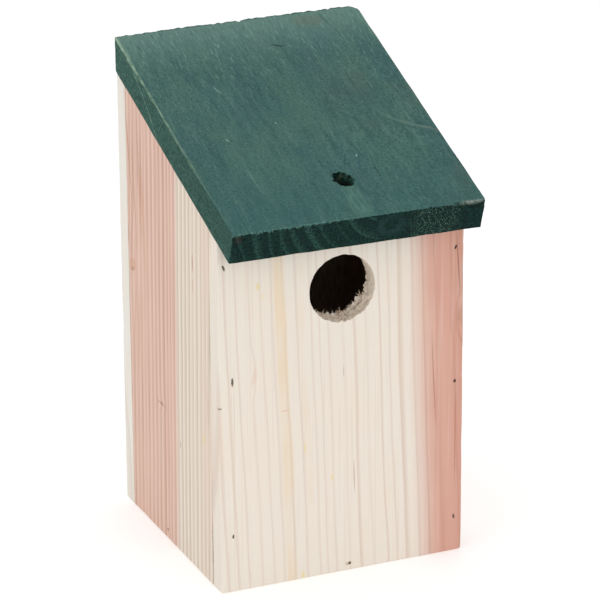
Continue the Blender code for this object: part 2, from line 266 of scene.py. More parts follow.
class Graph:
    """A material's node tree, written as sums."""

    def __init__(self, name):
        self.material = bpy.data.materials.new(name)
        self.material.use_nodes = True
        self.tree = self.material.node_tree
        self.shader = self.tree.nodes["Principled BSDF"]
        self.place = self.add("ShaderNodeTexCoord").outputs["Object"]
        self.facing = self.add("ShaderNodeTexCoord").outputs["Normal"]

    def add(self, kind, **settings):
        node = self.tree.nodes.new(kind)
        for name, value in settings.items():
            setattr(node, name, value)
        return node

    def feed(self, socket, value):
        if isinstance(value, bpy.types.NodeSocket):
            self.tree.links.new(value, socket)
        else:
            socket.default_value = value

    def maths(self, operation, *values):
        node = self.add("ShaderNodeMath", operation=operation)
        for socket, value in zip(node.inputs, values):
            self.feed(socket, value)
        return node.outputs[0]

    def total(self, first, *others):
        for other in others:
            first = self.maths("ADD", first, other)
        return first

    def times(self, first, *others):
        for other in others:
            first = self.maths("MULTIPLY", first, other)
        return first

    def less(self, first, second):
        return self.maths("SUBTRACT", first, second)

    def invert(self, value):
        return self.maths("SUBTRACT", 1, value)

    def vector(self, x, y, z):
        node = self.add("ShaderNodeCombineXYZ")
        for socket, value in zip(node.inputs, (x, y, z)):
            self.feed(socket, value)
        return node.outputs[0]

    def along(self, vector, direction, origin=(0, 0, 0)):
        """How far a vector reaches along a direction from an origin."""
        dot = self.add("ShaderNodeVectorMath", operation="DOT_PRODUCT")
        self.feed(dot.inputs[0], vector)
        dot.inputs[1].default_value = direction
        return self.less(dot.outputs["Value"], Vector(direction).dot(Vector(origin)))

    def step(self, value, low, high):
        """0 below low, 1 above high, and smooth between. With low over high it falls."""
        node = self.add("ShaderNodeMapRange", interpolation_type="SMOOTHSTEP")
        self.feed(node.inputs["Value"], value)
        node.inputs["From Min"].default_value = low
        node.inputs["From Max"].default_value = high
        return node.outputs["Result"]

    def noise(self, place, scale=1.0, detail=2.0, roughness=0.5, distortion=0.0):
        node = self.add("ShaderNodeTexNoise")
        self.feed(node.inputs["Vector"], place)
        node.inputs["Scale"].default_value = scale
        node.inputs["Detail"].default_value = detail
        node.inputs["Roughness"].default_value = roughness
        node.inputs["Distortion"].default_value = distortion
        return node.outputs["Fac"]

    def cells(self, place, scale):
        node = self.add("ShaderNodeTexVoronoi")
        self.feed(node.inputs["Vector"], place)
        node.inputs["Scale"].default_value = scale
        return node.outputs["Distance"]

    def random(self, value):
        node = self.add("ShaderNodeTexWhiteNoise", noise_dimensions="1D")
        self.feed(node.inputs["W"], value)
        return node.outputs["Value"]

    def mix(self, share, first, second, blend="MIX"):
        node = self.add("ShaderNodeMix", data_type="RGBA", blend_type=blend)
        self.feed(node.inputs[0], share)
        self.feed(node.inputs[6], first)
        self.feed(node.inputs[7], second)
        return node.outputs[2]

    def bump(self, height, distance, strength=1.0, normal=None):
        node = self.add("ShaderNodeBump")
        self.feed(node.inputs["Height"], height)
        node.inputs["Distance"].default_value = distance
        node.inputs["Strength"].default_value = strength
        if normal:
            self.feed(node.inputs["Normal"], normal)
        return node.outputs["Normal"]

    def spot(self, across, along, centre, radii, ragged=0.0, place=None, turn=0.0):
        """1 in the middle of an ellipse, falling to 0 at its rim. turn tilts it, in degrees, anticlockwise."""
        x, y = self.less(across, centre[0]), self.less(along, centre[1])
        if turn:
            cosine, sine = math.cos(math.radians(turn)), math.sin(math.radians(turn))
            turned_x = self.total(self.times(x, cosine), self.times(y, sine))
            y = self.less(self.times(y, cosine), self.times(x, sine))
            x = turned_x
        x = self.maths("DIVIDE", x, radii[0])
        y = self.maths("DIVIDE", y, radii[1])
        distance = self.maths("SQRT", self.total(self.times(x, x), self.times(y, y)))
        if ragged:
            jitter = self.less(self.noise(place, 0.9, 3), 0.5)
            distance = self.total(distance, self.times(jitter, ragged))
        return self.step(distance, 1.0, 0.35)


class Grain:
    """The growth rings and fibres of one board, as they show on any of its faces.

    across, depth and length are the board's own directions, and length is the way that the grain runs. pith is
    the place of the tree's centre in millimetres, and lean how far the grain drifts sideways along its length."""

    def __init__(
        self,
        graph,
        across,
        depth,
        length,
        origin,
        pith,
        spacing,
        lean,
        wander,
        bends=(),
        late_from=0.6,
        uneven=1.6,
        weakest=0.3,
    ):
        self.graph = graph
        self.across = graph.times(graph.along(graph.place, across, origin), 1000)
        self.depth = graph.times(graph.along(graph.place, depth, origin), 1000)
        self.length = graph.times(graph.along(graph.place, length, origin), 1000)
        self.end = graph.step(graph.maths("ABSOLUTE", graph.along(graph.facing, length)), 0.55, 0.85)
        slow = graph.vector(
            graph.times(self.across, 0.03), graph.times(self.depth, 0.03), graph.times(self.length, 0.009)
        )
        drift = graph.times(graph.less(graph.noise(slow, 1, 2), 0.5), wander)
        side = graph.total(self.across, graph.times(self.length, lean), drift)
        for centre, radii, push in bends:
            side = graph.total(side, graph.times(graph.spot(self.across, self.length, centre, radii), push))
        side = graph.less(side, pith[0])
        inward = graph.less(self.depth, pith[1])
        self.radius = graph.maths("SQRT", graph.total(graph.times(side, side), graph.times(inward, inward)))
        drawn_out = graph.less(graph.noise(graph.vector(self.radius, 0, 0), 0.09, 1), 0.5)
        phase = graph.total(graph.maths("DIVIDE", self.radius, spacing), graph.times(drawn_out, uneven))
        within = graph.maths("FRACT", phase)
        self.strength = graph.random(graph.maths("FLOOR", phase))
        rise = graph.step(within, late_from, 0.88)
        fall = graph.step(within, 1.0, 0.9)
        self.late = graph.times(rise, fall, graph.total(weakest, graph.times(self.strength, 1 - weakest)))
        fine = graph.vector(
            graph.times(self.across, 2.6), graph.times(self.depth, 2.6), graph.times(self.length, 0.07)
        )
        self.fibre = graph.noise(fine, 1, 3, 0.6)
        broad = graph.vector(
            graph.times(self.across, 0.55), graph.times(self.depth, 0.55), graph.times(self.length, 0.012)
        )
        self.streak = graph.noise(broad, 1, 2)
        thin = graph.vector(
            graph.times(self.across, 1.3), graph.times(self.depth, 1.3), graph.times(self.length, 0.008)
        )
        self.hair = graph.noise(thin, 1, 2)
        patch = graph.vector(
            graph.times(self.across, 0.035), graph.times(self.depth, 0.035), graph.times(self.length, 0.02)
        )
        self.patch = graph.noise(patch, 1, 2)
        short = graph.vector(
            graph.times(self.across, 0.9), graph.times(self.depth, 0.9), graph.times(self.length, 0.17)
        )
        self.fleck = graph.noise(short, 1, 4, 0.65)
        grit = graph.vector(self.across, self.depth, self.length)
        self.grit = graph.noise(grit, 2.2, 4, 0.7)
        self.pores = graph.cells(grit, 1.6)


# Each board's colours: sapwood, its late rings, heartwood and its late rings
FRONT_TONES = (linear(235, 226, 214), linear(220, 203, 189), linear(215, 164, 148), linear(197, 143, 127))
SIDE_TONES = (linear(237, 226, 213), linear(199, 181, 162), linear(231, 198, 183), linear(190, 146, 128))
BACK_TONES = (linear(236, 232, 223), linear(226, 218, 206), linear(220, 180, 163), linear(202, 154, 137))
KNOT = linear(150, 95, 70)
RESIN = linear(232, 214, 150)


def wood(name, grain_of, tones, heart, marks=(), tints=(), skin=None, inside=None, drilled=None):
    """Planed softwood. heart gives the radii in millimetres between which sapwood turns to pink heartwood; marks
    are small spots and tints are stripes along the grain, each with a colour. Marks lie on the outer face only:
    skin gives the depths between which they fade out. inside is the way that the board's inner face points; that
    face is painted a mottled, darker brown as painted shade inside the box. drilled is the middle and the radius of
    a large hole, whose wall is painted paler and warmer as painted light against the bore's shade."""
    graph = Graph(name)
    grain = grain_of(graph)
    sap, sap_late, heart_early, heart_late = tones
    jitter = graph.times(graph.less(grain.streak, 0.5), 5)
    pink = graph.step(graph.total(grain.radius, jitter), heart[0], heart[1])
    early = graph.mix(pink, sap, heart_early)
    late = graph.mix(pink, sap_late, heart_late)
    colour = graph.mix(grain.late, early, late)
    hairs = graph.step(grain.hair, 0.56, 0.7)
    colour = graph.mix(graph.times(hairs, 0.6), colour, late)
    for centre, half_width, tint, share in tints:
        stripe = graph.step(graph.maths("ABSOLUTE", graph.less(grain.radius, centre)), half_width, half_width * 0.5)
        colour = graph.mix(graph.times(stripe, share, graph.step(grain.patch, 0.3, 0.6)), colour, tint)
    place = graph.vector(grain.across, grain.depth, grain.length)
    outer = graph.step(grain.depth, *skin) if skin else 1
    for centre, radii, turn, tint, share, ragged in marks:
        spot = graph.spot(grain.across, grain.length, centre, radii, ragged, place, turn)
        colour = graph.mix(graph.times(spot, share, outer), colour, tint)
    warmth = graph.step(grain.patch, 0.35, 0.75)
    colour = graph.mix(graph.times(warmth, 0.14), colour, linear(238, 214, 190))
    cool = graph.step(grain.streak, 0.5, 0.25)
    colour = graph.mix(graph.times(cool, 0.18), colour, linear(240, 234, 226))
    fibres = graph.step(grain.fibre, 0.55, 0.8)
    colour = graph.mix(graph.times(fibres, 0.16), colour, linear(180, 142, 118))
    end_tone = graph.mix(graph.step(grain.grit, 0.35, 0.7), linear(222, 198, 172), linear(246, 232, 214))
    colour = graph.mix(graph.times(grain.end, 0.65), colour, end_tone)
    # Painted shade: faces that point into the box are painted a mottled, darker brown for the shade inside it.
    if inside:
        inner = graph.step(graph.along(graph.facing, inside), 0.5, 0.9)
        rough = graph.mix(graph.step(grain.fleck, 0.35, 0.65), linear(152, 124, 98), linear(186, 158, 130))
        colour = graph.mix(graph.times(inner, 0.85), colour, rough)
    # Painted light: near the entrance, the bore's wall is painted paler and warmer, brightened against its shade.
    if drilled:
        middle, radius = drilled
        near = graph.spot(grain.across, grain.length, middle, (radius * 1.5, radius * 1.5))
        wall = graph.step(graph.maths("ABSOLUTE", graph.along(graph.facing, Y)), 0.7, 0.3)
        bore_wall_painted_light = graph.mix(graph.step(grain.grit, 0.35, 0.65), linear(250, 226, 200), linear(255, 249, 238))
        colour = graph.mix(graph.times(graph.step(near, 0.0, 0.2), wall), colour, bore_wall_painted_light)
    graph.feed(graph.shader.inputs["Base Color"], colour)
    roughness = graph.total(0.55, graph.times(grain.fibre, 0.25), graph.times(grain.late, -0.06))
    graph.feed(graph.shader.inputs["Roughness"], roughness)
    graph.shader.inputs["Specular IOR Level"].default_value = 0.15
    relief = graph.total(
        graph.times(grain.fibre, 0.5), graph.times(grain.late, 0.12), graph.times(grain.grit, grain.end, 1.2)
    )
    graph.feed(graph.shader.inputs["Normal"], graph.bump(relief, 0.12 * MM))
    return graph.material


X, Y, Z = (1, 0, 0), (0, 1, 0), (0, 0, 1)


def front_wood():
    """Cream sapwood with the heart's pink band down the right-hand edge."""

    def grain(graph):
        bends = (((59, 116), (7, 16), 3.0), ((-44, 105), (5, 14), -1.6))
        return Grain(graph, X, Y, Z, (0, 0, 0), (108, -22), 5.3, 0.035, 4, bends)

    marks = (
        ((59.5, 117), (3.0, 7), 0, linear(176, 128, 100), 0.55, 0.7),
        ((57.5, 140), (0.45, 22), 4, linear(150, 94, 76), 0.85, 0.3),
        ((56.4, 60), (0.4, 34), 0, linear(166, 106, 88), 0.65, 0.5),
        ((45.5, 86), (0.4, 30), 3, linear(160, 104, 86), 0.7, 0.4),
        ((-59.8, 90.6), (1.6, 0.5), 4, linear(84, 72, 54), 0.8, 0.3),
        ((-40.7, 146), (1.2, 2.6), 0, RESIN, 0.75, 0.8),
        ((-38.5, 141), (2.0, 2.0), 0, RESIN, 0.25, 0.8),
        ((-18.5, 65), (0.7, 4), 0, RESIN, 0.6, 0.8),
        ((-5.2, 48), (0.8, 2.6), 0, RESIN, 0.7, 0.8),
        ((-20, 2), (1.4, 3), 0, RESIN, 0.6, 0.8),
        ((5.7, 47), (0.45, 11), 1, linear(170, 134, 114), 0.5, 0.4),
        ((0.6, 99), (0.3, 4), 0, linear(160, 124, 104), 0.5, 0.4),
        ((-43, 103), (1.6, 6), -12, linear(226, 196, 172), 0.45, 0.8),
        ((-28, 84.5), (2.6, 0.5), 0, linear(222, 176, 150), 0.6, 0.6),
        ((2.6, 3.4), (1.5, 1.3), 0, linear(176, 140, 112), 0.6, 0.8),
    )
    tints = (
        (138.5, 3.2, linear(233, 211, 179), 0.8),
        (129, 2.0, linear(236, 214, 186), 0.5),
        (48, 18, linear(196, 140, 122), 0.85),
    )
    drilled = ((ENTRANCE.x / MM, ENTRANCE.z / MM), ENTRANCE_RADIUS / MM)
    return wood("front_wood", grain, FRONT_TONES, (83, 69), marks, tints, (-57.6, -58.6), Y, drilled)


def left_side_wood():
    """Pink heartwood towards the back with the rings cut square on, so that they stand in even lines; cream sapwood
    at the front."""

    def grain(graph):
        bends = (((45, 122), (9, 34), -1.8), ((38, 190), (16, 50), 1.2), ((11, 67), (9, 5), 0.8))
        return Grain(
            graph, Y, X, Z, (0, 0, 0), (120, -30), 4.45, 0.026, 2.5, bends, late_from=0.05, uneven=1.0, weakest=0.5
        )

    brown = linear(188, 136, 106)
    marks = (
        ((45, 122), (3.4, 1.4), -22, linear(150, 98, 74), 0.9, 0.7),
        ((45, 124), (6.5, 4.5), -20, linear(206, 156, 128), 0.6, 0.8),
        ((47, 178), (1.0, 26), -7, brown, 0.75, 0.9),
        ((41, 160), (0.8, 34), -5, brown, 0.65, 0.9),
        ((44.5, 148), (0.6, 26), 4, brown, 0.6, 0.9),
        ((34, 168), (1.2, 40), -3, brown, 0.5, 0.9),
        ((30, 150), (2.5, 40), -2, linear(206, 160, 132), 0.5, 0.9),
        ((42, 104), (0.8, 22), 5, brown, 0.5, 0.9),
        ((38, 96), (0.8, 30), 3, brown, 0.4, 0.9),
        ((11, 66.5), (7, 0.8), 0, linear(176, 116, 98), 0.6, 0.9),
        ((10.5, 67), (1.6, 1.0), 30, linear(150, 90, 74), 0.7, 0.7),
        ((-41, 69), (2.4, 4.2), 0, RESIN, 0.45, 0.8),
        ((-30.5, 150), (0.8, 6), 0, linear(176, 118, 90), 0.75, 0.7),
        ((-30.5, 139), (1.0, 5), 0, linear(206, 160, 130), 0.6, 0.7),
        ((-46.5, 85), (0.8, 12), 0, linear(196, 160, 138), 0.5, 0.7),
        ((-12, 55), (0.4, 2.6), -6, linear(128, 102, 84), 0.8, 0.4),
        ((6, 4.5), (1.6, 0.8), 35, linear(150, 84, 70), 0.5, 0.6),
        # A painted shadow: a thin dark line up the crack where this side meets the front board, near the ground.
        ((-49.5, 12), (0.4, 27), 0, linear(120, 98, 78), 0.7, 0.6),
    )
    tints = ((167, 9, linear(228, 208, 192), 0.6), (84, 16, linear(222, 183, 166), 0.45))
    return wood("left_side_wood", grain, SIDE_TONES, (132, 128), marks, tints, (-57.6, -58.6), X)


def right_side_wood():
    """A board like the left one, cut a little further from the heart, with one small knot."""

    def grain(graph):
        bends = (((-18, 78), (9, 24), 4.0), ((30, 150), (14, 60), -1.5))
        return Grain(graph, Y, X, Z, (0, 0, 0), (112, 30), 4.8, -0.02, 4.5, bends, late_from=0.4, weakest=0.4)

    marks = (
        ((-18, 78), (4.5, 6), 8, linear(206, 160, 126), 0.5, 0.6),
        ((-18, 78), (2.4, 3.2), 8, KNOT, 0.8, 0.6),
        ((24, 128), (0.5, 22), 2, linear(184, 130, 104), 0.5, 0.7),
        ((-34, 40), (1.4, 4), 0, RESIN, 0.5, 0.8),
    )
    return wood("right_side_wood", grain, SIDE_TONES, (132, 128), marks, (), (57.6, 58.6), (-1, 0, 0))


def back_wood():
    def grain(graph):
        return Grain(graph, X, Y, Z, (0, 0, 0), (60, 102), 5.0, -0.02, 7, (((-24, 70), (10, 22), -5),))

    marks = (
        ((-24, 70), (7, 11), 10, linear(206, 160, 126), 0.5, 0.5),
        ((-24, 70), (3.8, 5), 10, KNOT, 0.85, 0.5),
        ((18, 128), (0.4, 14), 2, linear(180, 140, 112), 0.5, 0.4),
    )
    return wood("back_wood", grain, BACK_TONES, (52, 40), marks, (), (56, 57), (0, -1, 0))


def floor_wood():
    def grain(graph):
        return Grain(graph, Y, Z, X, (0, 0, 0), (10, 60), 4.5, 0.02, 6)

    return wood("floor_wood", grain, FRONT_TONES, (40, 30), inside=Z)


def roof_stain():
    """Thin green stain on a rough board: it lies pale on worn edges and sinks in dark on the end grain."""
    graph = Graph("roof_stain")
    bends = (((60, 56), (30, 26), 9), ((60, 53), (12, 10), 9))
    grain = Grain(graph, X, OUT_OF_SLOPE, ALONG_SLOPE, ROOF_FRONT, (16, 26), 6.2, 0.01, 9, bends, late_from=0.5)
    across, depth, length = grain.across, grain.depth, grain.length
    place = graph.vector(across, depth, length)
    mottle = graph.noise(place, 0.9, 3, 0.7)
    sweep = graph.noise(graph.vector(graph.times(across, 0.3), depth, graph.times(length, 0.045)), 1, 3, 0.6)

    # The top: green and blue patches, short pale fibres and dark pores, and fine ring lines along the slope
    cloud = graph.noise(graph.vector(graph.times(across, 0.9), depth, graph.times(length, 0.6)), 0.035, 4, 0.6)
    colour = graph.mix(graph.step(cloud, 0.38, 0.6), linear(72, 107, 98), linear(62, 97, 98))
    colour = graph.mix(graph.times(graph.step(sweep, 0.5, 0.3), 0.55), colour, linear(52, 86, 84))
    colour = graph.mix(graph.times(graph.step(sweep, 0.5, 0.72), 0.5), colour, linear(88, 122, 112))
    colour = graph.mix(graph.times(graph.step(mottle, 0.5, 0.3), 0.8), colour, linear(43, 75, 72))
    colour = graph.mix(graph.times(graph.step(mottle, 0.52, 0.72), 0.75), colour, linear(94, 130, 120))
    colour = graph.mix(graph.times(graph.step(grain.streak, 0.4, 0.7), 0.12), colour, linear(54, 86, 82))
    colour = graph.mix(graph.times(grain.late, 0.1), colour, linear(90, 126, 114))
    brown_patch = graph.times(graph.step(graph.noise(place, 0.03, 3), 0.45, 0.7), graph.step(across, -20, 40))
    colour = graph.mix(graph.times(brown_patch, 0.3), colour, linear(88, 96, 82))
    # Painted sheen: the top is painted paler towards the back.
    colour = graph.mix(graph.times(graph.step(length, 112, 156), 0.75), colour, linear(108, 140, 130))
    dashes = graph.times(graph.step(grain.fleck, 0.53, 0.7), graph.total(0.35, graph.step(length, 85, 145)))
    colour = graph.mix(graph.times(dashes, 0.5), colour, linear(122, 158, 144))
    colour = graph.mix(graph.times(graph.step(grain.fleck, 0.45, 0.3), 0.5), colour, linear(44, 76, 73))
    colour = graph.mix(graph.times(graph.step(length, 70, 10), 0.22), colour, linear(50, 96, 94))
    back_arris = (ROOF_LENGTH + ROOF_THICKNESS * math.tan(ROOF_SLOPE)) / MM
    rear = graph.step(length, back_arris - 1.5, back_arris - 0.3)
    colour = graph.mix(graph.times(rear, graph.step(mottle, 0.38, 0.58), 0.75), colour, linear(34, 54, 58))
    marks = (
        ((-29.2, 101), (0.5, 4.0), 6, linear(134, 162, 146), 0.6),
        ((-28.0, 99), (0.4, 2.6), 10, linear(134, 162, 146), 0.5),
        ((-38, 64.5), (0.7, 1.7), 20, linear(140, 168, 150), 0.6),
        ((-11.5, 72), (0.7, 0.9), 0, linear(140, 166, 150), 0.6),
        ((15.5, 42), (0.45, 1.2), -20, linear(164, 184, 168), 0.8),
        ((29, 86), (0.8, 1.5), 20, linear(44, 74, 72), 0.5),
        ((-37, 35), (0.4, 16), 1, linear(100, 134, 124), 0.5),
        ((20.5, 30), (0.6, 6), 0, linear(40, 62, 60), 0.7),
        ((23, 37), (0.4, 7), -4, linear(50, 76, 72), 0.5),
        ((11.5, 127), (4.2, 1.0), -22, linear(38, 62, 60), 0.75),
        ((33, 143), (11, 6), 0, linear(104, 112, 92), 0.35),
        ((41, 143), (1.2, 6), 8, linear(50, 84, 80), 0.4),
        ((41, 66.5), (6.5, 1.6), -52, linear(96, 126, 114), 0.45),
        ((47.5, 60), (7.5, 1.7), -38, linear(100, 126, 114), 0.5),
        ((47.5, 57.6), (8, 1.1), -38, linear(50, 78, 76), 0.45),
        ((55, 55), (6, 1.2), -30, linear(114, 130, 114), 0.55),
        ((60, 51.5), (2.0, 1.2), -30, linear(126, 116, 104), 0.5),
        ((38, 73), (0.9, 7), 14, linear(92, 122, 112), 0.5),
        ((40, 78), (9, 14), 30, linear(64, 94, 92), 0.4),
    )
    for centre, radii, turn, tint, share in marks:
        spot = graph.spot(across, length, centre, radii, 0.9, place, turn)
        colour = graph.mix(graph.times(spot, share), colour, tint)

    # Rubbed, paler streaks that run down from the screw's hole, and its bruised rim
    below = graph.spot(across, length, (3, 11), (7.5, 15), 0.5, place)
    rubbed = graph.times(below, graph.total(0.35, graph.times(graph.step(grain.fleck, 0.4, 0.62), 0.65)))
    colour = graph.mix(graph.times(rubbed, 0.5), colour, linear(98, 138, 120))
    middle = (SCREW_TOP.x / MM, (SCREW_TOP - ROOF_FRONT).dot(ALONG_SLOPE) / MM)
    rim = graph.spot(across, length, middle, (7.2, 8.6), 1.1, place)
    colour = graph.mix(graph.times(rim, graph.step(mottle, 0.42, 0.6), 0.5), colour, linear(98, 132, 108))
    # Painted shade: the screw hole's wall below the top is painted near black, with olive specks.
    hole = graph.spot(across, length, middle, (10, 12), 0.0)
    sunk = graph.step(depth, ROOF_THICKNESS / MM - 0.5, ROOF_THICKNESS / MM - 1.2)
    pit_painted_shade = graph.mix(graph.step(grain.grit, 0.46, 0.62), linear(7, 12, 9), linear(80, 88, 62))
    colour = graph.mix(graph.times(hole, sunk), colour, pit_painted_shade)

    # The side faces are darker, with a pale ring line that runs down the left one from the back corner
    side = graph.step(graph.maths("ABSOLUTE", graph.along(graph.facing, X)), 0.55, 0.9)
    side_colour = graph.mix(graph.step(mottle, 0.3, 0.66), linear(22, 54, 48), linear(60, 104, 92))
    side_colour = graph.mix(graph.times(graph.step(grain.fleck, 0.5, 0.68), 0.55), side_colour, linear(88, 128, 112))
    side_colour = graph.mix(graph.times(graph.step(grain.grit, 0.5, 0.66), 0.6), side_colour, linear(18, 44, 38))
    side_colour = graph.mix(graph.times(graph.step(length, 110, 10), 0.3), side_colour, linear(24, 56, 50))
    colour = graph.mix(graph.times(side, 0.92), colour, side_colour)
    fall = graph.maths("DIVIDE", graph.less(138, length), 51)
    line_depth = graph.less(15.5, graph.times(graph.maths("POWER", graph.maths("MAXIMUM", fall, 0), 1.7), 15.5))
    on_line = graph.step(graph.maths("ABSOLUTE", graph.less(depth, line_depth)), 1.2, 0.1)
    left = graph.step(across, -58, -59.8)
    ring_line = graph.times(on_line, left, graph.step(grain.fleck, 0.3, 0.6), 0.6)
    colour = graph.mix(ring_line, colour, linear(118, 150, 132))

    # Worn arrises, palest at the back of the left one
    edge = graph.less(ROOF_HALF_WIDTH / MM, graph.maths("ABSOLUTE", across))
    top = graph.step(depth, ROOF_THICKNESS / MM - 1.3, ROOF_THICKNESS / MM - 0.3)
    worn = graph.times(graph.step(edge, 1.1, 0.0), top, graph.step(grain.fleck, 0.3, 0.6))
    towards_back = graph.total(
        graph.times(graph.step(length, 6, 60), 0.35), graph.times(graph.step(length, 60, 130), 0.4)
    )
    worn = graph.times(worn, towards_back, graph.total(0.25, graph.times(graph.step(across, 30, -30), 0.75)))
    colour = graph.mix(worn, colour, linear(158, 184, 160))

    # End grain soaks up more stain, and its rings and pores stay pale
    blotch = graph.noise(graph.vector(across, depth, length), 0.3, 3, 0.6)
    end_colour = graph.mix(graph.step(mottle, 0.3, 0.7), linear(2, 24, 23), linear(27, 62, 55))
    end_colour = graph.mix(graph.times(graph.step(blotch, 0.5, 0.35), 0.6), end_colour, linear(8, 26, 25))
    end_colour = graph.mix(graph.times(graph.step(grain.grit, 0.45, 0.7), 0.5), end_colour, linear(14, 38, 35))
    ring = graph.times(grain.late, graph.step(across, 14, 4), graph.step(mottle, 0.3, 0.6))
    end_colour = graph.mix(graph.times(ring, 0.7), end_colour, linear(56, 94, 84))
    swirl = graph.less(graph.spot(across, depth, (15.5, 8.5), (9, 7)), graph.spot(across, depth, (15.5, 9), (6, 5)))
    end_colour = graph.mix(graph.times(graph.maths("MAXIMUM", swirl, 0), 0.5), end_colour, linear(46, 76, 78))
    dots = graph.times(graph.step(grain.pores, 0.4, 0.18), graph.step(grain.grit, 0.42, 0.54))
    dots = graph.times(dots, graph.step(across, 22, 30), graph.step(across, 52, 44))
    end_colour = graph.mix(graph.times(dots, 0.85), end_colour, linear(128, 158, 138))
    colour = graph.mix(grain.end, colour, end_colour)

    # Torn pale fibres along the front arris, greyest at its right, and bare brown wood at its left
    front = graph.step(length, 2.0, 0.2)
    high = graph.step(depth, ROOF_THICKNESS / MM - 1.5, ROOF_THICKNESS / MM - 0.3)
    fuzz = graph.times(front, high, graph.step(mottle, 0.45, 0.62), graph.step(across, 10, -30))
    colour = graph.mix(graph.times(fuzz, 0.85), colour, linear(98, 138, 126))
    grey = graph.times(graph.spot(across, depth, (54, 14.8), (8, 2.0), 1.4, place), front)
    colour = graph.mix(graph.times(grey, graph.step(mottle, 0.35, 0.6), 0.85), colour, linear(160, 166, 156))
    brown = graph.times(graph.spot(across, depth, (-57.5, 13.2), (3.2, 3), 1.4, place), front)
    colour = graph.mix(graph.times(brown, graph.step(mottle, 0.38, 0.6), 0.7), colour, linear(70, 52, 48))

    graph.feed(graph.shader.inputs["Base Color"], colour)
    roughness = graph.total(0.6, graph.times(grain.grit, 0.25), graph.times(grain.end, 0.1))
    graph.feed(graph.shader.inputs["Roughness"], roughness)
    graph.shader.inputs["Specular IOR Level"].default_value = 0.1
    relief = graph.total(graph.times(grain.fibre, 0.5), graph.times(grain.fleck, 0.9))
    relief = graph.total(relief, graph.times(mottle, 0.6), graph.times(grain.grit, 0.5))
    rough_end = graph.times(graph.total(grain.grit, graph.times(grain.pores, 0.8)), grain.end)
    relief = graph.total(relief, graph.times(rough_end, 1.5))
    graph.feed(graph.shader.inputs["Normal"], graph.bump(relief, 0.3 * MM))
    return graph.material


def torn_wood():
    """The fuzzy beige fibres that a drill leaves."""
    graph = Graph("torn_wood")
    millimetres = graph.add("ShaderNodeVectorMath", operation="SCALE")
    graph.feed(millimetres.inputs[0], graph.place)
    millimetres.inputs["Scale"].default_value = 1000
    place = millimetres.outputs[0]
    shade_of = graph.step(graph.noise(place, 0.9, 4, 0.7), 0.36, 0.6)
    colour = graph.mix(shade_of, linear(206, 162, 124), linear(255, 247, 236))
    graph.feed(graph.shader.inputs["Base Color"], colour)
    graph.shader.inputs["Roughness"].default_value = 0.9
    graph.shader.inputs["Specular IOR Level"].default_value = 0.1
    graph.feed(graph.shader.inputs["Normal"], graph.bump(graph.noise(place, 2.5, 4, 0.7), 0.3 * MM))
    return graph.material


def steel(name, colour, dirt, roughness, spread, spangled=0.3):
    """Bare or plated metal with fine scratches and tarnish."""
    graph = Graph(name)
    millimetres = graph.add("ShaderNodeVectorMath", operation="SCALE")
    graph.feed(millimetres.inputs[0], graph.place)
    millimetres.inputs["Scale"].default_value = 1000
    place = millimetres.outputs[0]
    tarnish = graph.step(graph.noise(place, 0.35, 4, 0.65), 0.42, 0.68)
    spangle = graph.cells(place, 0.22)
    base = graph.mix(graph.times(spangle, spangled), colour, linear(214, 216, 218))
    graph.feed(graph.shader.inputs["Base Color"], graph.mix(graph.times(tarnish, 0.6), base, dirt))
    graph.shader.inputs["Metallic"].default_value = 1.0
    graph.feed(graph.shader.inputs["Roughness"], graph.total(roughness, graph.times(tarnish, spread)))
    graph.feed(graph.shader.inputs["Normal"], graph.bump(graph.noise(place, 3.0, 3), 0.02 * MM))
    return graph.material


# ---------------------------------------------------------------- pieces


def slot_cutters(slots, outward, seed):
    """Ragged slots over the heads of brads. slots gives each brad's slot: half its width, half its height, and how
    far it is turned about the brad."""
    outward = Vector(outward)
    cutters = []
    for index, (node, (half_width, half_height, turn)) in enumerate(slots.items()):
        low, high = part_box(node)
        centre = (low + high) / 2
        head = centre + outward * abs((high - low).dot(outward)) / 2

        def radius_at(angles, depths, seed=seed + index, half_width=half_width, half_height=half_height, turn=turn):
            across = np.cos(angles - turn) / (half_width * MM)
            along = np.sin(angles - turn) / (half_height * MM)
            rim = np.stack([np.cos(angles), np.sin(angles), depths * 200], axis=1)
            return (1 + 0.25 * smooth_noise(rim, 1.1, seed)) / np.hypot(across, along)

        cutters.append(rough_bore(f"slot_{node}", head, outward, (1 * MM, 2 * MM), radius_at, 20, 1 * MM))
    return cutters


def make_brad(node, outward, turn, material):
    """A brad: a wire with a narrow flat head, turned a little about its own length."""
    low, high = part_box(node)
    centre = (low + high) / 2
    outward = Vector(outward)
    half = abs((high - low).dot(outward)) / 2
    bm = bmesh.new()
    for size, top, bottom in (((0.9, 1.7), half, half - 0.7 * MM), ((0.8, 1.2), half - 0.6 * MM, -half)):
        made = bmesh.ops.create_cube(bm, size=1)
        height = top - bottom
        bmesh.ops.scale(bm, vec=(size[0] * MM, size[1] * MM, height), verts=made["verts"])
        bmesh.ops.translate(bm, vec=(0, 0, (top + bottom) / 2), verts=made["verts"])
    bmesh.ops.bevel(bm, geom=bm.edges, offset=0.12 * MM, segments=2, profile=0.5, affect="EDGES")
    rotation = Vector((0, 0, 1)).rotation_difference(outward).to_matrix().to_4x4()
    bmesh.ops.transform(bm, matrix=Matrix.Translation(centre) @ rotation @ Matrix.Rotation(turn, 4, "Z"), verts=bm.verts)
    mesh = bpy.data.meshes.new(node + "_wire")
    bm.to_mesh(mesh)
    bm.free()
    mesh.materials.append(material)
    piece = bpy.data.objects.new(node + "_wire", mesh)
    bpy.context.scene.collection.objects.link(piece)
    shade(piece)
    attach(piece, "box")
    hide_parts(node)
    return piece


